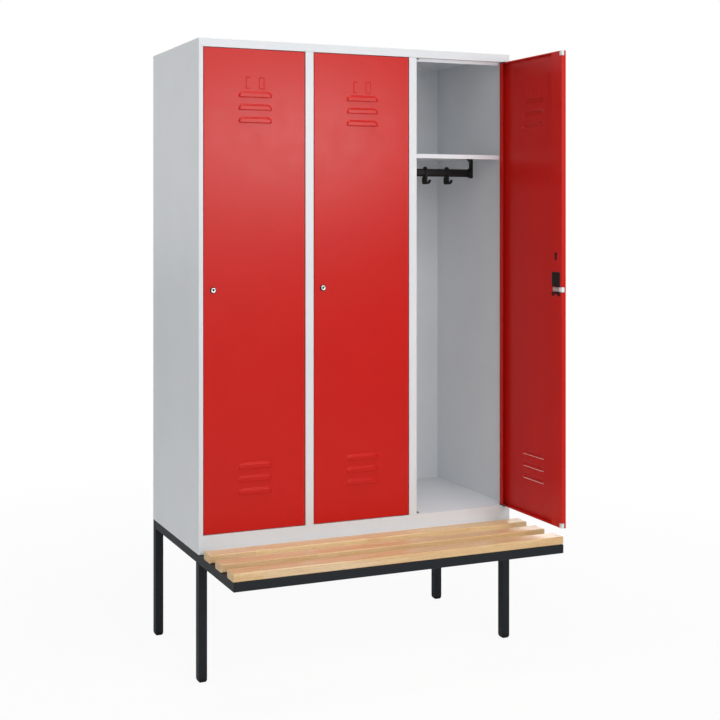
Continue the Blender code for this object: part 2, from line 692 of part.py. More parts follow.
def door_cutters():
    """What is cut out of a door for its lock, its bolt, its corner caps and its hinge plates."""
    beyond = DOOR_DEPTH + CUT_EXTRA
    bushing = CYLINDER_RADIUS + TURN_CLEARANCE + BUSHING_WALL + SEAM
    hole = shifted(rod(bushing, -CUT_EXTRA, SHEET + CUT_EXTRA, "Y"), x=LOCK_FROM_EDGE, z=LOCK_HEIGHT)
    window = box((CASE_FROM_EDGE - SEAM, DOOR_DEPTH / 2, LOCK_HEIGHT - CASE_BELOW_AXIS - SEAM),
                 (CASE_FROM_EDGE + CASE_WIDTH + SEAM, beyond, LOCK_HEIGHT + CASE_ABOVE_AXIS + SEAM))
    window = combine(window, [fork_arch(SEAM, DOOR_DEPTH / 2 - CUT_EXTRA, beyond + CUT_EXTRA)])
    half_bolt = BOLT_HEIGHT / 2 + BOLT_CLEARANCE
    notch = box((-CUT_EXTRA, BOLT_FRONT - BOLT_CLEARANCE, BOLT_HEIGHT_ON_DOOR - half_bolt),
                (CASE_FROM_EDGE, beyond, BOLT_HEIGHT_ON_DOOR + half_bolt))
    sight = LOCK_HEIGHT + SIGHT_HOLE_ABOVE_AXIS
    sight_hole = shifted(rod(SIGHT_HOLE_RADIUS, DOOR_DEPTH / 2, beyond, "Y", 20),
                         x=LOCK_FROM_EDGE, z=sight)
    sight_slot = box((LOCK_FROM_EDGE - SIGHT_SLOT_WIDTH / 2, DOOR_DEPTH / 2, sight - SIGHT_SLOT_DROP),
                     (LOCK_FROM_EDGE + SIGHT_SLOT_WIDTH / 2, beyond, sight))
    cap_rooms = [box((-CUT_EXTRA, CAP_FROM_FRONT - SEAM, low), (CAP_LENGTH + SEAM, beyond, high))
                 for low, high in ((-CUT_EXTRA, CAP_HEIGHT + SEAM),
                                   (DOOR_HEIGHT - CAP_HEIGHT - SEAM, DOOR_HEIGHT + CUT_EXTRA))]
    plate_rooms = [box((DOOR_WIDTH - PIN_PLATE_LENGTH - SEAM, PIN_PLATE_FRONT - SEAM, low),
                       (DOOR_WIDTH + CUT_EXTRA, beyond, high))
                   for low, high in ((-CUT_EXTRA, PIN_PLATE_SUNK + SEAM),
                                     (DOOR_HEIGHT - PIN_PLATE_SUNK - SEAM, DOOR_HEIGHT + CUT_EXTRA))]
    return [hole, window, notch, sight_hole, sight_slot, *cap_rooms, *plate_rooms]


def lock_case_mesh():
    """Case behind the door's face, grooved for the bolt, with a bushing and rosette in front."""
    low = LOCK_HEIGHT - CASE_BELOW_AXIS
    high = LOCK_HEIGHT + CASE_ABOVE_AXIS
    front, back = SHEET + SEAM, DOOR_DEPTH + CASE_PROUD
    right = CASE_FROM_EDGE + CASE_WIDTH
    case = eased_box((CASE_FROM_EDGE, front, low), (right, back, high), CASE_EDGE)
    ring = rod(ROSETTE_RADIUS, -SEAM - ROSETTE_THICKNESS, -SEAM, "Y")
    bushing = rod(CYLINDER_RADIUS + TURN_CLEARANCE + BUSHING_WALL, -2 * SEAM, front + SHEET, "Y")
    case = combine(case, [shifted(part, x=LOCK_FROM_EDGE, z=LOCK_HEIGHT) for part in (ring, bushing)],
                   "UNION")
    bore = rod(CYLINDER_RADIUS + TURN_CLEARANCE, -ROSETTE_THICKNESS - CUT_EXTRA, BOLT_FRONT, "Y")
    half_bolt = BOLT_HEIGHT / 2 + BOLT_CLEARANCE
    groove = box((0, BOLT_FRONT - BOLT_CLEARANCE, BOLT_HEIGHT_ON_DOOR - half_bolt),
                 (DOOR_WIDTH / 2, back + CUT_EXTRA, BOLT_HEIGHT_ON_DOOR + half_bolt))
    tools = [shifted(bore, x=LOCK_FROM_EDGE, z=LOCK_HEIGHT), groove,
             fork_arch(0.0, front - CUT_EXTRA, back + CUT_EXTRA)]
    return moved(combine(case, tools), DOOR_TO_HINGE)


def cylinder_mesh():
    """Turning barrel about its own axis, with a key slot in its face."""
    inner_end = BOLT_FRONT - BOLT_CLEARANCE - SEAM
    barrel = rod(CYLINDER_RADIUS, -CYLINDER_PROUD, inner_end, "Y")
    width, height, depth = KEY_SLOT
    slot = box((-width / 2, -CYLINDER_PROUD - CUT_EXTRA, -height / 2),
               (width / 2, -CYLINDER_PROUD + depth, height / 2))
    return combine(barrel, [slot])


def bolt_mesh():
    """Sliding bolt seen from the back: tip at the door's edge, a neck, and the grip."""
    half, neck = BOLT_HEIGHT / 2, BOLT_NECK_HEIGHT / 2
    grip = BOLT_TIP + BOLT_NECK_LENGTH
    corner = BOLT_CORNER
    centre = BOLT_LENGTH - corner
    outline = [(0, -half), (BOLT_TIP, -half), (BOLT_TIP, -neck), (grip - corner / 2, -neck),
               (grip, -half)]
    outline += arc((centre, -half + corner), corner, -math.pi / 2, 0, 3)
    outline += arc((centre, half - corner), corner, 0, math.pi / 2, 3)
    outline += [(grip, half), (grip - corner / 2, neck), (BOLT_TIP, neck), (BOLT_TIP, half), (0, half)]
    return moved(prism([outline], BOLT_THICKNESS), XZ_ALONG_Y)


def hinge_pin_mesh(direction):
    """Plate let into the door's end, with the pin that stands out of it, up or down."""
    plate = box((DOOR_WIDTH - PIN_PLATE_LENGTH, PIN_PLATE_FRONT, -PIN_PLATE_SUNK),
                (DOOR_WIDTH - PIN_PLATE_INSET, DOOR_DEPTH, DOOR_GAP - SEAM))
    pin = rod(PIN_RADIUS, 0, DOOR_GAP + PIN_RISE, segments=16)
    pin = shifted(pin, x=DOOR_WIDTH - PIVOT_FROM_EDGE, y=PIVOT_FROM_FRONT)
    mesh = moved(combine(plate, [pin], "UNION"), DOOR_TO_HINGE)
    if direction < 0:
        mesh = moved(mesh, Matrix.Scale(-1, 4, (0, 0, 1)))
        mesh.flip_normals()
    return mesh


def cap_mesh():
    """Pale buffer that fills the notch at a free corner, about the door's end."""
    block = eased_box((0, CAP_FROM_FRONT, 0), (CAP_LENGTH, DOOR_DEPTH, CAP_HEIGHT), CAP_EDGE, 1)
    return moved(block, DOOR_TO_HINGE)


def add_doors():
    """Three like doors, each on an empty at its hinge's axis, with its lock and fittings."""
    tray = moved(combine(louvred(tray_mesh()), door_cutters()), DOOR_TO_HINGE)
    case, cylinder, bolt = lock_case_mesh(), cylinder_mesh(), bolt_mesh()
    pin_up, pin_down = hinge_pin_mesh(1), hinge_pin_mesh(-1)
    cap = cap_mesh()
    lock_place = DOOR_TO_HINGE @ Vector((LOCK_FROM_EDGE, 0, LOCK_HEIGHT))
    bolt_place = DOOR_TO_HINGE @ Vector((0, DOOR_DEPTH, BOLT_HEIGHT_ON_DOOR))
    for index, angle in enumerate(DOOR_REST_ANGLES):
        number = index + 1
        hinge = add_empty(f"hinge_{number}", (pivot_x(index), PIVOT_FROM_FRONT, DOOR_BOTTOM),
                          angle, ROOT)
        top = (0, 0, DOOR_HEIGHT)
        add_piece(f"door_{number}", tray, RED_PAINT, parent=hinge)
        add_piece(f"lock_case_{number}", case, BLACK_PLASTIC, parent=hinge)
        add_piece(f"lock_cylinder_{number}", cylinder, BRIGHT_METAL, lock_place, hinge)
        add_piece(f"lock_bolt_{number}", bolt, BOLT_METAL, bolt_place, hinge)
        add_piece(f"hinge_pin_upper_{number}", pin_up, BLACK_PLASTIC, top, hinge)
        add_piece(f"hinge_pin_lower_{number}", pin_down, BLACK_PLASTIC, parent=hinge)
        cap_top = (0, 0, DOOR_HEIGHT - CAP_HEIGHT)
        add_piece(f"corner_cap_upper_{number}", cap, PALE_PLASTIC, cap_top, hinge)
        add_piece(f"corner_cap_lower_{number}", cap, PALE_PLASTIC, parent=hinge)


def tube_mesh(length, mitred_ends=()):
    """Square tube along z; a mitred end is drawn back on the side towards +x."""
    bore = TUBE - 2 * TUBE_WALL
    loops = [rounded_rectangle(TUBE, TUBE, TUBE_CORNER, 3),
             rounded_rectangle(bore, bore, TUBE_CORNER - TUBE_WALL, 2)]
    mesh = prism(loops, length)
    for vertex in mesh.vertices:
        end = round(vertex.co.z / length)
        if end in mitred_ends:
            vertex.co.z += (1 - 2 * end) * (vertex.co.x + TUBE / 2)
    return mesh


def add_frame_bars():
    """Side bars from the rear legs to the bench's front, a front bar mitred to them, a rear bar."""
    edge = BODY_WIDTH / 2 - TUBE / 2
    level = BAR_TOP - TUBE / 2
    rear_end = BODY_DEPTH - TUBE - SEAM
    side_length = BENCH_DEPTH + rear_end
    along_y = Matrix.Rotation(-math.pi / 2, 4, "X")
    left = moved(tube_mesh(side_length, (0,)), along_y)
    right = moved(left.copy(), Matrix.Scale(-1, 4, (1, 0, 0)))
    right.flip_normals()
    add_piece("side_bar_left", left, FRAME_PAINT, (-edge, -BENCH_DEPTH, level))
    add_piece("side_bar_right", right, FRAME_PAINT, (edge, -BENCH_DEPTH, level))
    mitre_gap = SEAM * 1.5
    front_length = BODY_WIDTH - 2 * mitre_gap
    across = Matrix(((0, 0, 1), (1, 0, 0), (0, 1, 0))).to_4x4()
    front = moved(tube_mesh(front_length, (0, 1)), across)
    add_piece("front_bar", front, FRAME_PAINT,
              (-front_length / 2, -BENCH_DEPTH + TUBE / 2, level))
    rear_length = BODY_WIDTH - 2 * (TUBE + SEAM)
    add_piece("rear_bar", moved(tube_mesh(rear_length), across), FRAME_PAINT,
              (-rear_length / 2, BODY_DEPTH - TUBE / 2, level))


def foot_mesh():
    """Moulded foot: a round-edged pad below and a plug that enters the tube."""
    bm = bmesh.new()
    outline = rounded_rectangle(TUBE, TUBE, TUBE_CORNER, 3)
    rim = bm.faces.new([bm.verts.new((x, y, FOOT_HEIGHT)) for x, y in outline])
    rim.normal_flip()
    below = rim
    steps = 4
    turns = [step * math.pi / 2 / steps for step in range(steps + 1)]
    heights = [FOOT_HEIGHT] + [FOOT_ROUNDING_HEIGHT * (1 - math.sin(turn)) for turn in turns]
    widths = [TUBE] + [TUBE - 2 * FOOT_ROUNDING_INSET * (1 - math.cos(turn)) for turn in turns]
    for step in range(1, len(heights)):
        region = [below] if below is rim else [below, *below.edges]
        grown = bmesh.ops.extrude_face_region(bm, geom=region)["geom"]
        ring = [item for item in grown if isinstance(item, bmesh.types.BMVert)]
        shrink = widths[step] / widths[step - 1]
        bmesh.ops.scale(bm, vec=(shrink, shrink, 1), verts=ring)
        bmesh.ops.translate(bm, vec=(0, 0, heights[step] - heights[step - 1]), verts=ring)
        below = next(item for item in grown if isinstance(item, bmesh.types.BMFace))
    pad = mesh_of(bm)
    bore = TUBE - 2 * TUBE_WALL - 2 * SEAM
    plug = prism([rounded_rectangle(bore, bore, TUBE_CORNER - TUBE_WALL, 2)], FOOT_PLUG + SHEET)
    return combine(pad, [shifted(plug, z=FOOT_HEIGHT - SHEET)], "UNION")


def add_legs():
    """Front legs under the side bars, rear legs beside them, each on a moulded foot."""
    foot = foot_mesh()
    start = FOOT_HEIGHT + SEAM
    front = tube_mesh(BAR_BOTTOM - SEAM - start)
    rear = tube_mesh(BAR_TOP - start)
    for side, side_word in ((-1, "left"), (1, "right")):
        x = side * (BODY_WIDTH - TUBE) / 2
        for word, mesh, y in (("front", front, TUBE / 2), ("rear", rear, BODY_DEPTH - TUBE / 2)):
            add_piece(f"{word}_leg_{side_word}", mesh, FRAME_PAINT, (x, y, start))
            add_piece(f"foot_cap_{word}_{side_word}", foot, BLACK_PLASTIC, (x, y, 0))


def add_seat():
    """Beech slats lying across the side bars, with equal gaps up to the cabinet's front."""
    outline = rounded_rectangle(SLAT_WIDTH, SLAT_THICKNESS, SLAT_CORNER, 4)
    slat = shifted(moved(prism([outline], BODY_WIDTH), YZ_ALONG_X), x=-BODY_WIDTH / 2)
    for index in range(SLATS):
        y = -BENCH_DEPTH + index * SLAT_PITCH + SLAT_WIDTH / 2
        place = (0, y, FRAME_TOP + SLAT_THICKNESS / 2)
        add_piece(f"seat_slat_{index + 1}", slat, BEECH, place)


add_side_panels()
add_partitions()
add_top_panel()
add_floor_panel()
add_rear_panel()
add_insides()
add_doors()
add_frame_bars()
add_legs()
add_seat()
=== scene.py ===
"""Looks of the three-door locker with bench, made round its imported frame.

Metres, +Z up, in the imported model's frame: doors 1 and 2 are shut and door 3 stands open.
A door is drawn once in its own directions (x from its free edge, y back from its front face,
z up from its lower edge) and then set three times.
"""
import json
import math

import bmesh
import bpy
from mathutils import Matrix, Vector


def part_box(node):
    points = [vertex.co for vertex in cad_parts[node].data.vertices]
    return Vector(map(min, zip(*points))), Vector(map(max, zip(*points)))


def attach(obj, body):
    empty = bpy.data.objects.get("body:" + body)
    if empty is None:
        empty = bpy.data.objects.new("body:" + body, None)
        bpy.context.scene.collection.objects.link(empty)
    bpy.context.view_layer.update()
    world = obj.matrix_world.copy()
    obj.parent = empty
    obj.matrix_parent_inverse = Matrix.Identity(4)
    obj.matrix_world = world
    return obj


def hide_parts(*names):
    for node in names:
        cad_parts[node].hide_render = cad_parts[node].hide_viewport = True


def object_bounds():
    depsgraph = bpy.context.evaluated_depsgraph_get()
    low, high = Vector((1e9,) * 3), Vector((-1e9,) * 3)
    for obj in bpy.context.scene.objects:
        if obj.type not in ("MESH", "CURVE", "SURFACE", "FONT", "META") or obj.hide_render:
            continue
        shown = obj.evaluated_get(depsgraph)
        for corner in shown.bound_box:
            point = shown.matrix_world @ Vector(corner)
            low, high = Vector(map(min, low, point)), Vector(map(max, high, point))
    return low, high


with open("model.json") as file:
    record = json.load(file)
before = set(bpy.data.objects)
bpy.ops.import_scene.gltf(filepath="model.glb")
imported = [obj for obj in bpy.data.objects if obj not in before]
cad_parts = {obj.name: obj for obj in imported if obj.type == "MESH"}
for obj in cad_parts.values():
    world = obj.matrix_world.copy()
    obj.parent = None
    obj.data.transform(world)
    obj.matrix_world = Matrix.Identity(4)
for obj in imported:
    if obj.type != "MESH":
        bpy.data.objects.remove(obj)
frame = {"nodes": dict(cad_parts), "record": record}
CAD_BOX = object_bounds()
NODES = frame["nodes"]
BODY_OF = {node: body for body, nodes in frame["record"]["behaviour"]["bodies"].items()
           for node in nodes}

# Working sizes
WELD = 0.00001               # points closer than this are one
PLANE_WELD = 0.000001        # the same where a plane cuts
SLACK = 0.001                # how far a cutter runs past the face that it cuts
ROUND = 48                   # sides of a round shape
SMALL_ROUND = 32

# Angles between two faces, in degrees, and how squarely a face looks one way
FLAT = 0.5                   # flatter than this, they are one face
SHARP = 32.0                 # steeper than this, their edge is shaded sharp
FACING = 0.99                # share of a face's normal along the way that it faces
BENT = 30.0                  # steeper than this, the edge of a sheet is rounded
MOULDED = 50.0               # the same for a moulding or a casting
CUT_OFF = 60.0               # and for the end of a tube

# Rounded edges: radius, and faces across it
SHEET_FOLD = (0.0012, 4)
DOOR_FOLD = (0.0018, 4)
TUBE_END = (0.0002, 1)
CASE_EDGE = (0.0006, 2)
RIB_EDGE = (0.0003, 1)
BOLT_EDGE = (0.0012, 3)
LINER_EDGE = (0.0004, 2)
BUFFER_EDGE = (0.0004, 2)
RAIL_EDGE = (0.0006, 2)
HOOK_EDGE = (0.0012, 3)
PLATE_EDGE = (0.0003, 2)
CAP_EDGE = (0.0006, 2)
FOOT_EDGE = (0.0005, 2)
SLAT_SIDE = (0.0038, 6)
SLAT_END = (0.0011, 3)

# Sheet steel
SHEET = 0.001
LEAST_FOLD = 0.004           # a shorter edge is no fold
LEAST_FLANGE = 0.0022        # nor is one between narrower faces
CABINET_SHEETS = (
    "side_panel_left", "side_panel_right", "partition_left", "partition_right", "top_panel",
    "floor_panel", "rear_panel", "hat_shelf_1", "hat_shelf_2", "hat_shelf_3")

# Doors
DOORS = (1, 2, 3)
OPEN_DOOR = 3
DOOR_WIDTH = 0.366
DOOR_DEPTH = 0.017
DOOR_HEIGHT = 1.606
LOCK_FLANGE = 0.057
HINGE_FLANGE = 0.0195
DOOR_HEM = 0.0045            # return of the top and bottom folds, between the flanges
CAP_ROOM = (0.0143, 0.0062, 0.0173)            # along the door, start behind its face, height
PLATE_ROOM = (0.0333, 0.0020, 0.0025)          # the same for the hinge plates
SIGHT_HOLE = (0.920, 0.0045, 0.005, 0.0185)    # height, radius, slot width, slot drop

# Louvres
SLIT_HEIGHTS = (0.123, 0.1655, 0.208, 1.361, 1.4035, 1.446)
LOUVRE_HALF = 0.0605
LOUVRE_RISE = 0.019
LOUVRE_CORNER = 0.0155
LOUVRE_DEPTH = 0.004
LOUVRE_SLOPE = 0.0062
LOUVRE_FRAME = 0.0015        # flat sheet that is cut out with a louvre beside and above it
LOUVRE_FOOT = 0.0025         # and below it
LOUVRE_GRID = 0.0009         # distance between the points that are pressed out
STRAIGHT_GRID = 0.008        # the same along the straight middle of the lip
ARC_MARGIN = 0.001           # the fine grid starts this far before the corners
LIP_DROP = 0.0012
LIP_ROLL = 0.0018            # how far up the lip is rolled in, and by what share of the depth
LIP_PULL = 0.22
SLIT_GAP = 0.0004

# Label holder pressed above the upper louvres
LABEL_MIDDLE = 1.4935
LABEL_HALF = (0.0325, 0.0185)
LABEL_BEAD = 0.0013
LABEL_RISE = 0.0008
LABEL_RIB = 0.0145           # the narrow upright rib, right of the holder's middle
LABEL_RIB_SHARE = 0.8        # its rise, as a share of the others'
LABEL_CLIP = 0.60            # where the left clip ends, as a share of the half width
LABEL_FRAME = 0.0005
LABEL_GRID = (0.00065, 0.0008)

# Lock
LOCK_X = 0.033
LOCK_Z = 0.804
BUSHING_HOLE = 0.0102
ROSETTE = (0.0097, 0.013)                      # radii between which the rosette is slimmed
ROSETTE_ACROSS = 0.9
ROSETTE_PROUD = 0.45
CASE = (0.011, 0.0425, 0.025, 0.056)           # from the free edge, width, below and above the axis
CASE_SEAM = 0.0003
CASE_LEAST_EDGE = 0.0008
CASE_RIBS = 9
RIB_PITCH = 0.0042
RIB_WIDTH = 0.0018
RIB_BACK = (0.0005, 0.0015)                    # start and end behind the door's back
RIB_ENDS = (0.0125, 0.0525)                    # above the lock's axis
FORK = (0.0105, 0.008, 0.0003)                 # arch at the case's foot: half width, height, play
BOLT_Z = 0.8015
BOLT_HALF = 0.0098
BOLT_FRONT = 0.0057
BOLT_NECK = 0.0150           # where the cast grip starts, behind the pale nose and its neck
NOSE_SHARE = 0.92            # how tall the nose and the grip look, as a share of the bolt
GRIP_SHARE = 0.80

# Barrel: radius and place behind the door's face, from the middle of the disc round to the back
BARREL_PROFILE = (
    (0.0, -0.0050), (0.0046, -0.0050), (0.0052, -0.0053), (0.0072, -0.0055), (0.0080, -0.0052),
    (0.0081, -0.0047), (0.0085, -0.0030), (0.0085, 0.0050), (0.0, 0.0050))
BARREL_DISC = 0.0082         # beyond this radius is the black collar
KEY_EYE = (0.0025, 0.0052)                     # half width and half height
KEY_EYE_DEPTH = (-0.0065, -0.0015)
KEY_EYE_RIM = (1.02, -0.00495)                 # share of the eye and depth within which its inside is painted black, as painted shade in the recess
KEY_SLOT = (0.0007, 0.0042)
KEY_SLOT_DEPTH = (-0.0060, -0.0005)

# Liners of the key sights
LINER_RIM = 0.0022           # the rim's breadth, beside the slot
LINER_FOOT = 0.0016          # and below it
LINER_PROUD = 0.0004
LINER_PLATE = (0.0075, 0.0045, 0.0035)         # half width, reach below and above the slot
LINER_PLATE_BACK = (0.0016, 0.0002)            # start and end inside the flange

# Buffers in the free-side corners of the openings, seen behind the open door's side
OPENING_SIDES = (-0.585, -0.185, 0.215)
OPENING_ENDS = (("lower", 0.484, 1), ("upper", 2.094, -1))     # name, height, way in
BUFFER = (0.020, 0.0018, 0.0085, 0.0015)       # length, thickness, height at the stile and at its tip
BUFFER_Y = -0.05695
BUFFER_PLAY = 0.0003

# Bench
SLATS = ("seat_slat_1", "seat_slat_2", "seat_slat_3")
SLAT_PITCH = 0.105
SLAT_LEAD = 0.02             # the wood's rows are counted from this far in front of the whole box
FIRST_ROW = CAD_BOX[0].y - SLAT_LEAD
STAVE = 0.405                # the glued lengths of beech in a slat
STAVE_START = 0.095
STAVE_SHIFT = 0.173          # how far each slat's joints are moved from the last one's
STAVE_SEED = 3.0
STAVE_JUMP = (7.0, 3.0)      # how far apart the staves are cut, along and across the grain
BEECH_TONES = ((238, 209, 159), (234, 206, 167))
RINGS = (1.1, 17.0, 17.0)    # waves to a metre, along and across the grain
RING_TONE = (224, 186, 136)
GRAIN = (7.0, 230.0, 230.0)
GRAIN_TONE = (210, 168, 117)
GRAIN_SHARE = 0.55           # how strongly it shows
FLECKS = (95.0, 900.0, 900.0)
FLECK_TONE = (170, 124, 82)
FLECK_SHARE = 0.4

# Powder coat: its fine specks, measured by its orange peel
SPECK_SCALE = 3.2
SPECK_SHARE = 0.25

# Light
AMBIENT = 0.08               # how strongly the surround lights the object; it is seen at 1
LAMPS = (                    # name, place, aim, size and power
    ("soft_box", (1.24, -3.6, 2.07), (-0.3, 0.0, 1.8), (1.4, 0.4), 34.5),
    ("front_fill", (-0.9, -5.2, 2.9), (0.0, 0.0, 1.1), (6.0, 4.6), 112.0),
    ("high_box", (-0.5, -4.2, 5.0), (0.0, 0.0, 0.8), (1.6, 0.8), 24.0),
    ("left_fill", (-5.5, -3.0, 1.8), (0.0, 0.0, 1.2), (3.0, 3.0), 20.0),
    ("side_fill", (-5.0, 1.2, 1.9), (-0.6, 0.2, 1.3), (2.5, 2.5), 58.0),
    ("top_box", (0.0, -1.0, 7.0), (0.0, -0.2, 0.4), (3.0, 2.0), 140.0),
    ("rear_fill", (4.6, 3.2, 2.2), (0.3, 0.2, 1.1), (3.0, 3.0), 90.0),
)

# Floor and surround
WHITE = (1, 1, 1, 1)
FLOOR_HALF = 40.0
FLOOR_PAINT = (0.86, 0.86, 0.86, 1)
FLOOR_FADE = (1.0, 3.5)      # distances between which the floor fades to white
FLOOR_WHITE = (0.93, 1.0)    # how white it looks there

# Camera
CAMERA_PLACE = (-1.9046, -3.74625, 1.5364)
CAMERA_TURN = -20.66         # degrees from straight on
CAMERA_LENS = 59.34
CAMERA_SHIFT = (0.1924, -0.2004)
CAMERA_REACH = 100.0


def linear(colour, share=1.0, lift=0.0):
    """A colour of 0 to 255 screen values, times a share and lifted, as the shaders want it."""
    values = [value * share + lift for value in colour]
    return (*[((value / 255 + 0.055) / 1.055) ** 2.4 for value in values], 1.0)


class Wire:
    """A value that runs through a finish's nodes. Arithmetic on it adds Math nodes."""

    def __init__(self, finish, socket):
        self.finish = finish
        self.socket = socket

    def maths(self, operation, *values):
        return self.finish.node("ShaderNodeMath", {"operation": operation}, dict(enumerate(values)))

    def __add__(self, other):
        return self.maths("ADD", self, other)

    def __radd__(self, other):
        return self.maths("ADD", other, self)

    def __sub__(self, other):
        return self.maths("SUBTRACT", self, other)

    def __rsub__(self, other):
        return self.maths("SUBTRACT", other, self)

    def __mul__(self, other):
        return self.maths("MULTIPLY", self, other)

    def __rmul__(self, other):
        return self.maths("MULTIPLY", other, self)

    def __truediv__(self, other):
        return self.maths("DIVIDE", self, other)

    def __rtruediv__(self, other):
        return self.maths("DIVIDE", other, self)

    def floor(self):
        return self.maths("FLOOR", self)

    def larger(self, other):
        return self.maths("MAXIMUM", self, other)


class Finish:
    """A material, or the world, and the nodes that make it."""

    def __init__(self, name, owner=None):
        self.material = owner or bpy.data.materials.new(name)
        self.material.use_nodes = True
        self.tree = self.material.node_tree
        self.tree.nodes.clear()

    def node(self, kind, settings=None, sockets=None, output=0):
        """Adds a node, sets it up, fills its sockets and gives one of its outputs."""
        node = self.tree.nodes.new(kind)
        for name, value in (settings or {}).items():
            setattr(node, name, value)
        for key, value in (sockets or {}).items():
            if isinstance(value, Wire):
                self.tree.links.new(value.socket, node.inputs[key])
            else:
                node.inputs[key].default_value = value
        return Wire(self, node.outputs[output]) if node.outputs else None

    def place(self):
        """Where a point is on the object."""
        return self.node("ShaderNodeTexCoord", output="Object")

    def axes(self, vector):
        """The three numbers of a vector."""
        return [self.node("ShaderNodeSeparateXYZ", None, {0: vector}, axis) for axis in "XYZ"]

    def vector(self, x, y, z):
        """A vector from three numbers."""
        return self.node("ShaderNodeCombineXYZ", None, {0: x, 1: y, 2: z})

    def stretched(self, vector, scale):
        """The vector times a scale for each axis."""
        return self.node("ShaderNodeVectorMath", {"operation": "MULTIPLY"}, {0: vector, 1: scale})

    def noise(self, vector, scale=1.0, detail=2.0, roughness=0.5, distortion=0.0):
        """Cloudy noise from 0 to 1, with its scale in waves to a metre."""
        return self.node("ShaderNodeTexNoise", None, {
            "Vector": vector, "Scale": scale, "Detail": detail, "Roughness": roughness,
            "Distortion": distortion})

    def uneven(self, level, noise, spread):
        """A level that a noise moves up and down."""
        return level + (noise - 0.5) * spread

    def step(self, value, low, high, to_low=0.0, to_high=1.0):
        """Smooth step of a value between two others."""
        return self.node("ShaderNodeMapRange", {"interpolation_type": "SMOOTHSTEP"},
                         {0: value, 1: low, 2: high, 3: to_low, 4: to_high})

    def blend(self, share, first, second):
        """Colour between two others."""
        return self.node("ShaderNodeMix", {"data_type": "RGBA"}, {0: share, 6: first, 7: second}, 2)

    def bump(self, height, distance):
        """Surface normal for a height that varies."""
        return self.node("ShaderNodeBump", None,
                         {"Height": height, "Distance": distance, "Strength": 1.0})

    def surface(self, sockets):
        """Ends the material in a principled shader with these sockets."""
        shader = self.node("ShaderNodeBsdfPrincipled", None, sockets)
        self.node("ShaderNodeOutputMaterial", None, {"Surface": shader})
        return self.material


def powder_coat(name, colour, roughness, peel_scale, peel_depth, specular):
    """Baked powder coat: orange peel, and slight clouds in its tone and gloss."""
    coat = Finish(name)
    place = coat.place()
    clouds = coat.noise(place, scale=5.0, detail=3.0, roughness=0.6)
    tone = coat.step(clouds, low=0.3, high=0.7)
    gloss = coat.noise(place, scale=14.0)
    peel = coat.noise(place, scale=peel_scale, detail=1.5, roughness=0.6)
    specks = coat.noise(place, scale=peel_scale * SPECK_SCALE, detail=1.0)
    return coat.surface({
        "Base Color": coat.blend(tone, linear(colour), linear(colour, share=1.012)),
        "Roughness": coat.uneven(roughness, gloss, spread=0.08),
        "Specular IOR Level": specular,
        "Normal": coat.bump(peel + specks * SPECK_SHARE, peel_depth)})


def beech_wood():
    """Lacquered beech: glued staves, long grain, short dark flecks and soft growth rings."""
    wood = Finish("lacquered_beech")
    place = wood.place()
    x, y, z = wood.axes(place)
    slat = ((y - FIRST_ROW) / SLAT_PITCH).floor()
    stave = ((x + slat * STAVE_SHIFT + STAVE_START) / STAVE).floor()
    chance = wood.node("ShaderNodeTexWhiteNoise", {"noise_dimensions": "3D"},
                       {"Vector": wood.vector(stave, slat, STAVE_SEED)}, "Color")
    first, second, third = wood.axes(chance)
    along, across = STAVE_JUMP
    own = wood.vector(x + first * along, y + second * across, z + third * across)
    rings = wood.noise(wood.stretched(own, RINGS), detail=3.0, roughness=0.55, distortion=1.2)
    grain = wood.noise(wood.stretched(own, GRAIN), detail=3.0, roughness=0.6)
    fleck = wood.noise(wood.stretched(own, FLECKS), detail=1.0)
    flecks = wood.step(fleck, low=0.60, high=0.70)
    base = wood.blend(wood.step(first, low=0.25, high=0.75), *map(linear, BEECH_TONES))
    base = wood.blend(wood.step(rings, low=0.36, high=0.66), base, linear(RING_TONE))
    base = wood.blend(wood.step(grain, low=0.42, high=0.70) * GRAIN_SHARE, base, linear(GRAIN_TONE))
    base = wood.blend(flecks * FLECK_SHARE, base, linear(FLECK_TONE))
    return wood.surface({
        "Base Color": base,
        "Roughness": 0.27 + grain * 0.10 + flecks * 0.1,
        "Specular IOR Level": 0.32,
        "Normal": wood.bump(1.0 - flecks * 0.6 - grain * 0.4, distance=0.00006)})


def moulded(name, colour, roughness, grain_scale=1500.0, grain_depth=0.00005):
    """Moulded plastic with a fine spark-eroded grain and slightly uneven gloss."""
    plastic = Finish(name)
    place = plastic.place()
    skin = plastic.noise(place, scale=grain_scale, roughness=0.7)
    clouds = plastic.noise(place, scale=40.0)
    return plastic.surface({
        "Base Color": plastic.blend(clouds, linear(colour), linear(colour, share=1.06, lift=1.5)),
        "Roughness": plastic.uneven(roughness, clouds, spread=0.12),
        "Specular IOR Level": 0.25,
        "Normal": plastic.bump(skin, grain_depth)})


def metal(name, colour, roughness, metallic, grain_scale, grain_depth):
    """Bare metal with fine scratches and clouds."""
    bare = Finish(name)
    place = bare.place()
    clouds = bare.noise(place, scale=120.0, detail=3.0, roughness=0.6)
    scratches = bare.noise(bare.stretched(place, (1.0, 1.0, 6.0)), scale=grain_scale, roughness=0.7)
    return bare.surface({
        "Base Color": bare.blend(clouds, linear(colour), linear(colour, share=0.93)),
        "Roughness": bare.uneven(roughness, clouds, spread=0.12),
        "Metallic": metallic,
        "Normal": bare.bump(scratches, grain_depth)})


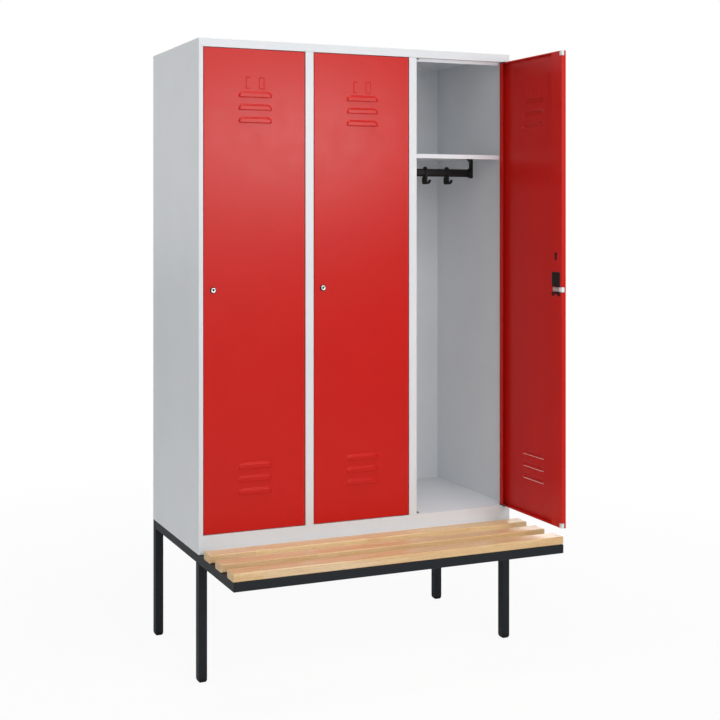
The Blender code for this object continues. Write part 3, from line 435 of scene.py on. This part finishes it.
GREY_COAT = powder_coat("light_grey_coat", (227, 231, 234), roughness=0.33,
                        peel_scale=420.0, peel_depth=0.00005, specular=0.22)
RED_COAT = powder_coat("red_coat", (201, 28, 21), roughness=0.30,
                       peel_scale=420.0, peel_depth=0.00005, specular=0.22)
FRAME_COAT = powder_coat("black_grey_coat", (21, 26, 31), roughness=0.50,
                         peel_scale=620.0, peel_depth=0.00007, specular=0.25)
BEECH = beech_wood()
BLACK = moulded("black_plastic", (13, 14, 15), roughness=0.45)
# DARK is the black plastic of the barrels' collars and the sight liners, and also the painted shade
# inside the key eyes
DARK = moulded("dark_plastic_and_painted_shade", (9, 9, 11), roughness=0.55)
PALE = moulded("pale_plastic", (222, 229, 227), roughness=0.45,
               grain_scale=1100.0, grain_depth=0.00004)
NICKEL = metal("nickel_plate", (198, 202, 204), roughness=0.26, metallic=1.0,
               grain_scale=900.0, grain_depth=0.00001)
ZINC = metal("cast_zinc", (188, 178, 176), roughness=0.45, metallic=0.5,
             grain_scale=700.0, grain_depth=0.00004)


def points_of(faces):
    """Faces with their edges and points, as an operator wants them."""
    edges = {edge for face in faces for edge in face.edges}
    points = {point for face in faces for point in face.verts}
    return [*faces, *edges, *points]


def sliced(bm, faces, axis, places):
    """Cuts faces by planes square to an axis, and gives the faces that they become."""
    normal = Vector([float(name == axis) for name in "xyz"])
    for place in places:
        kept = bmesh.ops.bisect_plane(bm, geom=points_of(faces), dist=PLANE_WELD,
                                      plane_co=normal * place, plane_no=normal)["geom"]
        faces = [item for item in kept if isinstance(item, bmesh.types.BMFace)]
    return faces


def spread(start, end, step):
    """Even places from start to end, about a step apart."""
    count = max(1, round((end - start) / step))
    return [start + (end - start) * index / count for index in range(count + 1)]


def box(low, high):
    """Rectangular solid between two corners."""
    low, high = Vector(low), Vector(high)
    bm = bmesh.new()
    bmesh.ops.create_cube(bm, size=1.0)
    bmesh.ops.scale(bm, vec=high - low, verts=bm.verts)
    bmesh.ops.translate(bm, vec=(low + high) / 2, verts=bm.verts)
    return bm


def rod(radius, start, end, segments=SMALL_ROUND):
    """Round solid along y."""
    bm = bmesh.new()
    bmesh.ops.create_cone(bm, cap_ends=True, segments=segments, radius1=radius, radius2=radius,
                          depth=end - start)
    bmesh.ops.rotate(bm, matrix=Matrix.Rotation(math.pi / 2, 3, "X"), verts=bm.verts)
    bmesh.ops.translate(bm, vec=(0, (start + end) / 2, 0), verts=bm.verts)
    return bm


def moved(bm, matrix):
    """The shape, moved by a matrix."""
    bmesh.ops.transform(bm, matrix=matrix, verts=bm.verts)
    return bm


def mesh_of(bm):
    """Turns a bmesh into a mesh."""
    mesh = bpy.data.meshes.new("shape")
    bm.to_mesh(mesh)
    bm.free()
    return mesh


def settled(carrier):
    """Mesh of a working object with its modifiers applied, after which the object goes."""
    bpy.context.view_layer.update()
    depsgraph = bpy.context.evaluated_depsgraph_get()
    mesh = bpy.data.meshes.new_from_object(carrier.evaluated_get(depsgraph))
    bpy.data.objects.remove(carrier)
    return mesh


def working_object(mesh):
    """Hidden object for a mesh that is cut or cuts."""
    carrier = bpy.data.objects.new("working", mesh)
    carrier.hide_render = True
    bpy.context.scene.collection.objects.link(carrier)
    return carrier


def cut(mesh, tools, operation="DIFFERENCE"):
    """Cuts shapes out of a mesh, or joins them to it."""
    target = working_object(mesh)
    carriers = [working_object(tool if isinstance(tool, bpy.types.Mesh) else mesh_of(tool))
                for tool in tools]
    for carrier in carriers:
        modifier = target.modifiers.new("cut", "BOOLEAN")
        modifier.operation = operation
        modifier.object = carrier
    result = settled(target)
    for carrier in carriers:
        bpy.data.objects.remove(carrier)
    return result


def flattened(bm):
    """Joins the faces that lie in one plane."""
    bmesh.ops.dissolve_limit(bm, angle_limit=math.radians(FLAT), verts=bm.verts, edges=bm.edges)
    return bm


def whole(node):
    """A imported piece's mesh, with its triangles joined into whole faces."""
    bm = bmesh.new()
    bm.from_mesh(NODES[node].data)
    bmesh.ops.remove_doubles(bm, verts=bm.verts, dist=WELD)
    return flattened(bm)


def breadth(face):
    """About how broad a face is across its longest edge."""
    return face.calc_area() / max(edge.calc_length() for edge in face.edges)


def rounded(bm, edges, rounding, clamped=True):
    """Rounds edges."""
    radius, segments = rounding
    bmesh.ops.bevel(bm, geom=edges, offset=radius, segments=segments, profile=0.5,
                    affect="EDGES", material=-1, clamp_overlap=clamped)
    return bm


def eased(bm, rounding, angle=BENT, wanted=None):
    """Rounds the outer edges steeper than an angle, or those of them that a test picks."""
    edges = [edge for edge in bm.edges if edge.is_manifold
             and edge.calc_face_angle_signed(0.0) > math.radians(angle)
             and (wanted is None or wanted(edge))]
    return rounded(bm, edges, rounding)


def is_fold(edge):
    """True where both faces are broad, so that the edge is a fold and not a cut."""
    return edge.calc_length() > LEAST_FOLD and min(map(breadth, edge.link_faces)) > LEAST_FLANGE


def show(name, mesh, finishes, nodes, body=None, finish_of_faces=None):
    """Makes the shown object of a piece, which rides on its body and stands for its nodes."""
    mesh.materials.clear()
    for finish in finishes:
        mesh.materials.append(finish)
    if finish_of_faces:
        mesh.polygons.foreach_set("material_index", finish_of_faces)
    mesh.shade_smooth()
    mesh.set_sharp_from_angle(angle=math.radians(SHARP))
    shown = bpy.data.objects.new(name, mesh)
    bpy.context.scene.collection.objects.link(shown)
    smooth = shown.modifiers.new("smooth", "WEIGHTED_NORMAL")
    smooth.keep_sharp = True
    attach(shown, body or BODY_OF[nodes[0]])
    if nodes:
        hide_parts(*nodes)


def cabinet_sheets():
    """Folded sheets of the cabinet, with rounded folds."""
    for name in CABINET_SHEETS:
        bm = eased(whole(name), SHEET_FOLD, wanted=is_fold)
        show(f"{name}_folded", mesh_of(bm), [GREY_COAT], [name])


def door_place(number):
    """Takes a door's own directions to where that door stands at rest."""
    low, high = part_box(f"door_{number}")
    if number == OPEN_DOOR:
        corner = Vector((high.x - LOUVRE_DEPTH, low.y, low.z))
        return Matrix.Translation(corner) @ Matrix.Rotation(math.pi / 2, 4, "Z")
    return Matrix.Translation((low.x, low.y + LOUVRE_DEPTH, low.z))


def swell(share):
    """Smooth rise from 0 to 1."""
    share = min(max(share, 0.0), 1.0)
    return share * share * (3 - 2 * share)


def louvre_height(across, above):
    """How far the sheet is pushed out at a point of a louvre."""
    past_x = abs(across) - (LOUVRE_HALF - LOUVRE_CORNER)
    past_z = above - (LOUVRE_RISE - LOUVRE_CORNER)
    outside = math.hypot(max(past_x, 0.0), max(past_z, 0.0)) + min(max(past_x, past_z), 0.0)
    rolled = min(max(1 - above / LIP_ROLL, 0.0), 1.0)
    pushed = LOUVRE_DEPTH * swell((LOUVRE_CORNER - outside) / LOUVRE_SLOPE)
    return pushed * (1 - LIP_PULL * rolled * rolled)


def label_height(across, above):
    """How far the sheet is pushed out at a point of the label holder: two clips and a bar."""
    half_width, half_height = LABEL_HALF

    def bead(distance):
        return LABEL_RISE * swell(1 - abs(distance) / LABEL_BEAD)

    within = abs(above) < half_height + LABEL_BEAD
    upright = bead(abs(across) - half_width) if within else 0.0
    rib = bead(across - LABEL_RIB) * LABEL_RIB_SHARE if within else 0.0
    beside = half_width * LABEL_CLIP < -across < half_width or LABEL_RIB < across < half_width
    level = bead(abs(above) - half_height) if beside else 0.0
    return max(upright, rib, level)


def gridded(bm, column, ends, middle, xs, zs):
    """Cuts the part of a column between two heights finely. Gives its faces, and the rest."""
    low, high = ends
    cell = [face for face in column if low < face.calc_center_median().z < high]
    rest = [face for face in column if face not in cell]
    cell = sliced(bm, cell, "x", [DOOR_WIDTH / 2 + x for x in xs])
    cell = sliced(bm, cell, "z", [middle + z for z in zs])
    return cell, rest


def press_louvre(bm, cell, foot):
    """Opens a louvre's slit, pushes the sheet above it out and draws its lip down."""
    slit = [face for face in cell
            if -SLIT_GAP < face.calc_center_median().z - foot < 0
            and abs(face.calc_center_median().x - DOOR_WIDTH / 2) < LOUVRE_HALF]
    bmesh.ops.delete(bm, geom=slit, context="FACES")
    for point in {point for face in cell if face.is_valid for point in face.verts}:
        above = point.co.z - foot
        if above > -SLIT_GAP / 2:
            push = louvre_height(point.co.x - DOOR_WIDTH / 2, above)
            point.co.y -= push
            if above < WELD:
                point.co.z -= LIP_DROP * push / LOUVRE_DEPTH


def press_label(cell):
    """Pushes the sheet out to the label holder."""
    for point in {point for face in cell for point in face.verts}:
        point.co.y -= label_height(point.co.x - DOOR_WIDTH / 2, point.co.z - LABEL_MIDDLE)


def door_tray():
    """Open shell of a door: its front, its sides, and the flanges behind its upright edges."""
    bm = box((0, 0, 0), (DOOR_WIDTH, DOOR_DEPTH, DOOR_HEIGHT))
    sliced(bm, bm.faces[:], "x", (LOCK_FLANGE, DOOR_WIDTH - HINGE_FLANGE))
    sliced(bm, bm.faces[:], "z", (DOOR_HEM, DOOR_HEIGHT - DOOR_HEM))
    bm.normal_update()
    middle = [face for face in bm.faces if face.normal.y > FACING
              and LOCK_FLANGE < face.calc_center_median().x < DOOR_WIDTH - HINGE_FLANGE
              and DOOR_HEM < face.calc_center_median().z < DOOR_HEIGHT - DOOR_HEM]
    bmesh.ops.delete(bm, geom=middle, context="FACES_ONLY")
    flattened(bm)
    folds = [edge for edge in bm.edges
             if not edge.is_boundary and edge.calc_face_angle(0.0) > math.radians(BENT)]
    rounded(bm, folds, DOOR_FOLD)
    bm.normal_update()
    return bm


def press_front(bm):
    """Presses the louvres and the label holder out of a door's front."""
    front = [face for face in bm.faces if face.normal.y < -FACING and breadth(face) > LOCK_FLANGE]
    side = LOUVRE_HALF + LOUVRE_FRAME
    column = sliced(bm, front, "x", (DOOR_WIDTH / 2 - side, DOOR_WIDTH / 2 + side))
    column = [face for face in column if abs(face.calc_center_median().x - DOOR_WIDTH / 2) < side]
    louvre_ends = [(foot - LOUVRE_FOOT, foot + LOUVRE_RISE + LOUVRE_FRAME) for foot in SLIT_HEIGHTS]
    reach = LABEL_HALF[1] + LABEL_BEAD + LABEL_FRAME
    label_ends = (LABEL_MIDDLE - reach, LABEL_MIDDLE + reach)
    column = sliced(bm, column, "z", [place for pair in (*louvre_ends, label_ends) for place in pair])
    arc = spread(LOUVRE_HALF - LOUVRE_CORNER - ARC_MARGIN, LOUVRE_HALF, LOUVRE_GRID)
    straight = spread(-arc[0], arc[0], STRAIGHT_GRID)[1:-1]
    xs = [-x for x in reversed(arc)] + straight + arc
    zs = [-SLIT_GAP, *spread(0.0, LOUVRE_RISE, LOUVRE_GRID)]
    for ends, foot in zip(louvre_ends, SLIT_HEIGHTS):
        cell, column = gridded(bm, column, ends, foot, xs, zs)
        press_louvre(bm, cell, foot)
    wide = LABEL_HALF[0] + LABEL_BEAD + LABEL_FRAME
    grid_x, grid_z = LABEL_GRID
    cell, column = gridded(bm, column, label_ends, LABEL_MIDDLE,
                           spread(-wide, wide, grid_x), spread(-reach, reach, grid_z)[1:-1])
    press_label(cell)


def door_sheet():
    """One door: a tray folded from sheet, with pressed louvres and label holder, then cut out."""
    bm = door_tray()
    press_front(bm)
    carrier = working_object(mesh_of(bm))
    wall = carrier.modifiers.new("sheet", "SOLIDIFY")
    wall.thickness = SHEET
    wall.offset = -1.0
    wall.use_even_offset = True
    return cut(settled(carrier), door_openings())


def door_openings():
    """What is cut out of a door for its lock, bolt, key sight, corner caps and hinge plates."""
    half_depth = DOOR_DEPTH / 2
    beyond = DOOR_DEPTH + SLACK
    at_lock = Matrix.Translation((LOCK_X, 0, LOCK_Z))
    edge, width, below, above = CASE
    sight, radius, slot, drop = SIGHT_HOLE
    cap_x, cap_y, cap_z = CAP_ROOM
    plate_x, plate_y, plate_z = PLATE_ROOM
    half_arch, arch_height, play = FORK
    arch = moved(rod(1.0, half_depth - SLACK, beyond + SLACK),
                 Matrix.Translation((edge + width / 2, 0, LOCK_Z - below))
                 @ Matrix.Diagonal((half_arch - play, 1.0, arch_height - play, 1.0)))
    window = box((edge - CASE_SEAM, half_depth, LOCK_Z - below - CASE_SEAM),
                 (edge + width + CASE_SEAM, beyond, LOCK_Z + above + CASE_SEAM))
    return [
        moved(rod(BUSHING_HOLE, -SLACK, SHEET + SLACK, ROUND), at_lock),
        cut(mesh_of(window), [arch]),
        box((-SLACK, BOLT_FRONT, BOLT_Z - BOLT_HALF), (edge, beyond, BOLT_Z + BOLT_HALF)),
        moved(rod(radius, half_depth, beyond), Matrix.Translation((LOCK_X, 0, sight))),
        box((LOCK_X - slot / 2, half_depth, sight - drop), (LOCK_X + slot / 2, beyond, sight)),
        box((-SLACK, cap_y, -SLACK), (cap_x, beyond, cap_z)),
        box((-SLACK, cap_y, DOOR_HEIGHT - cap_z), (cap_x, beyond, DOOR_HEIGHT + SLACK)),
        box((DOOR_WIDTH - plate_x, plate_y, -SLACK), (DOOR_WIDTH + SLACK, beyond, plate_z)),
        box((DOOR_WIDTH - plate_x, plate_y, DOOR_HEIGHT - plate_z),
            (DOOR_WIDTH + SLACK, beyond, DOOR_HEIGHT + SLACK))]


def doors():
    """The three door sheets."""
    sheet = door_sheet()
    for number in DOORS:
        mesh = sheet.copy()
        mesh.transform(door_place(number))
        show(f"door_{number}_pressed", mesh, [RED_COAT], [f"door_{number}"])


def is_collar_or_painted_shade(face):
    """True for the faces of a barrel that are its black collar, or inside the eye of its key slot,
    where the black is painted shade.
    """
    x, y, z = face.center
    wide, tall = KEY_EYE
    share, depth = KEY_EYE_RIM
    in_eye = y > depth and math.hypot(x / wide, z / tall) < share
    return in_eye or math.hypot(x, z) > BARREL_DISC or y > 0.0


def lock_barrels():
    """Barrels: a nickel disc with a sunk middle and an eye round the key slot, painted black inside
    as painted shade, in a black collar.
    """
    bm = bmesh.new()
    points = [bm.verts.new((radius, y, 0)) for radius, y in BARREL_PROFILE]
    edges = [bm.edges.new(pair) for pair in zip(points, points[1:])]
    bmesh.ops.spin(bm, geom=points + edges, cent=(0, 0, 0), axis=(0, 1, 0), angle=2 * math.pi,
                   steps=ROUND, use_merge=True)
    bmesh.ops.remove_doubles(bm, verts=bm.verts, dist=WELD)
    bmesh.ops.recalc_face_normals(bm, faces=bm.faces)
    wide, tall = KEY_EYE
    eye = moved(rod(1.0, *KEY_EYE_DEPTH), Matrix.Diagonal((wide, 1.0, tall, 1.0)))
    half_slot, half_height = KEY_SLOT
    front, back = KEY_SLOT_DEPTH
    slot = box((-half_slot, front, -half_height), (half_slot, back, half_height))
    barrel = cut(mesh_of(bm), [eye, slot])
    # The collar is black plastic; the black inside the key eye is painted shade
    collar_or_painted_shade = [int(is_collar_or_painted_shade(face)) for face in barrel.polygons]
    at_lock = Matrix.Translation((LOCK_X, 0, LOCK_Z))
    for number in DOORS:
        mesh = barrel.copy()
        mesh.transform(door_place(number) @ at_lock)
        show(f"lock_barrel_{number}", mesh, [NICKEL, DARK], [f"lock_cylinder_{number}"],
             finish_of_faces=collar_or_painted_shade)


def slimmed(bm, place):
    """Makes the rosette and bushing in front of a lock case a little smaller and flatter."""
    inner, outer = ROSETTE
    moved(bm, place.inverted())
    for point in bm.verts:
        if point.co.y < SHEET + SLACK and inner < math.hypot(point.co.x, point.co.z) < outer:
            point.co.x *= ROSETTE_ACROSS
            point.co.z *= ROSETTE_ACROSS
            point.co.y *= ROSETTE_PROUD if point.co.y < 0.0 else 1.0
    moved(bm, place)


def case_rib(step):
    """One upright rib on the back of a lock case."""
    left = CASE[0] + RIB_PITCH * (step + 1)
    (front, back), (foot, head) = RIB_BACK, RIB_ENDS
    return eased(box((left, DOOR_DEPTH + front, LOCK_Z + foot),
                     (left + RIB_WIDTH, DOOR_DEPTH + back, LOCK_Z + head)), RIB_EDGE)


def lock_cases():
    """Black lock cases with a soft rosette in front and upright ribs on the back."""
    for number in DOORS:
        node = f"lock_case_{number}"
        place = door_place(number)
        bm = eased(whole(node), CASE_EDGE, MOULDED, lambda edge: edge.calc_length() > CASE_LEAST_EDGE)
        slimmed(bm, place @ Matrix.Translation((LOCK_X, 0, LOCK_Z)))
        ribs = [moved(case_rib(step), place) for step in range(CASE_RIBS)]
        show(f"{node}_moulded", cut(mesh_of(bm), ribs, "UNION"), [BLACK], [node])


def lock_bolts():
    """Sliding bolts: a cast grip with a pale nose that is pushed on to it."""
    for number in DOORS:
        node = f"lock_bolt_{number}"
        bm = moved(eased(whole(node), BOLT_EDGE, MOULDED), door_place(number).inverted())
        sliced(bm, bm.faces[:], "x", (BOLT_NECK,))
        for point in bm.verts:
            share = GRIP_SHARE if point.co.x > BOLT_NECK + WELD else NOSE_SHARE
            point.co.z = BOLT_Z + (point.co.z - BOLT_Z) * share
        mesh = mesh_of(bm)
        nose = [int(face.center.x < BOLT_NECK) for face in mesh.polygons]
        mesh.transform(door_place(number))
        show(f"{node}_cast", mesh, [ZINC, PALE], [node], finish_of_faces=nose)


def sight_liners():
    """Black liners of the slots in the doors' flanges, rounded above, with a thin rim."""
    sight, radius, slot, drop = SIGHT_HOLE
    half_plate, below, above = LINER_PLATE
    plate_front, plate_back = LINER_PLATE_BACK
    front, back = DOOR_DEPTH - SHEET / 2, DOOR_DEPTH + LINER_PROUD
    half_leg = slot / 2 + LINER_RIM
    head = moved(rod(radius + LINER_RIM, front, back), Matrix.Translation((LOCK_X, 0, sight)))
    leg = box((LOCK_X - half_leg, front, sight - drop - LINER_FOOT), (LOCK_X + half_leg, back, sight))
    plate = box((LOCK_X - half_plate, DOOR_DEPTH - SHEET - plate_front, sight - drop - below),
                (LOCK_X + half_plate, DOOR_DEPTH - SHEET - plate_back, sight + radius + above))
    liner = cut(mesh_of(eased(plate, LINER_EDGE)), [head, leg], "UNION")
    for number in DOORS:
        mesh = liner.copy()
        mesh.transform(door_place(number))
        show(f"sight_liner_{number}", mesh, [DARK], [], f"door_set_{number}")


def corner_buffers():
    """Flat black wedges that a shut door's free corners rest against."""
    length, thickness, tall, low = BUFFER
    for number, left in zip(DOORS, OPENING_SIDES):
        for word, height, way in OPENING_ENDS:
            bm = box((0, -thickness / 2, 0), (length, thickness / 2, tall))
            tip = [point for point in bm.verts if point.co.x > length / 2 and point.co.z > tall / 2]
            bmesh.ops.translate(bm, vec=(0, 0, low - tall), verts=tip)
            moved(eased(bm, BUFFER_EDGE),
                  Matrix.Translation((left + BUFFER_PLAY, BUFFER_Y, height + way * BUFFER_PLAY))
                  @ Matrix.Rotation(0.0 if way > 0 else math.pi, 4, "X"))
            show(f"corner_buffer_{word}_{number}", mesh_of(bm), [BLACK], [],
                 "cabinet")


def small_mouldings():
    """Rails, hooks, hinge plates, corner caps and feet with their moulded edges."""
    kinds = [("clothes_rail", RAIL_EDGE, BLACK, "black_plastic"),
             ("coat_hook", HOOK_EDGE, BLACK, "black_plastic"),
             ("hinge_pin", PLATE_EDGE, BLACK, "black_plastic"),
             ("corner_cap", CAP_EDGE, PALE, "pale_plastic"),
             ("foot_cap", FOOT_EDGE, BLACK, "black_plastic")]
    for start, rounding, finish, slot in kinds:
        for node in [name for name in NODES if name.startswith(start)]:
            bm = eased(whole(node), rounding, MOULDED)
            show(f"{node}_moulded", mesh_of(bm), [finish], [node])


def bench_frame():
    """Square tubes of the frame, with softly cut ends."""
    for node in [name for name in NODES if name.endswith(("_bar", "_bar_left", "_bar_right"))
                 or "_leg_" in name]:
        bm = eased(whole(node), TUBE_END, CUT_OFF)
        show(f"{node}_tube", mesh_of(bm), [FRAME_COAT], [node])


def runs_along(edge):
    """True for an edge that runs along a slat."""
    first, second = edge.verts
    return abs(first.co.x - second.co.x) > WELD


def seat_slats():
    """Beech slats with rounded long edges and eased ends."""
    for node in SLATS:
        bm = box(*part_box(node))
        rounded(bm, [edge for edge in bm.edges if runs_along(edge)], SLAT_SIDE, clamped=False)
        rounded(bm, [edge for edge in bm.edges if not runs_along(edge)], SLAT_END, clamped=False)
        show(f"{node}_planed", mesh_of(bm), [BEECH], [node])


def pale_floor():
    """Floor that takes the object's shadow, and fades to white away from it."""
    bm = bmesh.new()
    bmesh.ops.create_grid(bm, x_segments=1, y_segments=1, size=FLOOR_HALF)
    floor = bpy.data.objects.new("floor", mesh_of(bm))
    bpy.context.scene.collection.objects.link(floor)
    ground = Finish("pale_floor")
    seen = ground.node("ShaderNodeLightPath", output="Is Camera Ray")
    away = ground.node("ShaderNodeVectorMath", {"operation": "LENGTH"}, {0: ground.place()}, "Value")
    paint = ground.node("ShaderNodeBsdfDiffuse", None, {"Color": FLOOR_PAINT})
    white = ground.node("ShaderNodeEmission", None, {"Color": WHITE, "Strength": 1.0})
    share = seen * ground.step(away, *FLOOR_FADE, *FLOOR_WHITE)
    mixed = ground.node("ShaderNodeMixShader", None, {0: share, 1: paint, 2: white})
    ground.node("ShaderNodeOutputMaterial", None, {"Surface": mixed})
    floor.data.materials.append(ground.material)


def surround():
    """World that the camera, gloss and glass see as white, and that lights the object a little."""
    world = bpy.data.worlds.new("surround")
    bpy.context.scene.world = world
    air = Finish("surround", world)
    camera, glossy, through = [air.node("ShaderNodeLightPath", output=f"Is {kind} Ray")
                               for kind in ("Camera", "Glossy", "Transmission")]
    strength = camera.larger(glossy).larger(through) * (1.0 - AMBIENT) + AMBIENT
    background = air.node("ShaderNodeBackground", None, {"Color": WHITE, "Strength": strength})
    air.node("ShaderNodeOutputWorld", None, {"Surface": background})


def lamps():
    """Soft boxes round the object: three in front, two at the left, one above and one behind."""
    for name, place, aim, size, power in LAMPS:
        lamp = bpy.data.lights.new(name, "AREA")
        lamp.shape = "RECTANGLE"
        lamp.size, lamp.size_y = size
        lamp.energy = power
        stand = bpy.data.objects.new(name, lamp)
        stand.location = place
        stand.rotation_euler = (Vector(aim) - Vector(place)).to_track_quat("-Z", "Y").to_euler()
        bpy.context.scene.collection.objects.link(stand)


def level_camera():
    """Camera held level at the photograph's place, with its frame shifted on to the object."""
    eye = bpy.data.cameras.new("camera")
    eye.lens = CAMERA_LENS
    eye.shift_x, eye.shift_y = CAMERA_SHIFT
    eye.clip_end = CAMERA_REACH
    camera = bpy.data.objects.new("camera", eye)
    camera.location = CAMERA_PLACE
    camera.rotation_euler = (math.radians(90), 0, math.radians(CAMERA_TURN))
    bpy.context.scene.collection.objects.link(camera)
    bpy.context.scene.camera = camera


bpy.context.scene.view_settings.view_transform = "Standard"
pale_floor()
surround()
lamps()
level_camera()
cabinet_sheets()
doors()
lock_barrels()
lock_cases()
lock_bolts()
sight_liners()
corner_buffers()
small_mouldings()
bench_frame()
seat_slats()
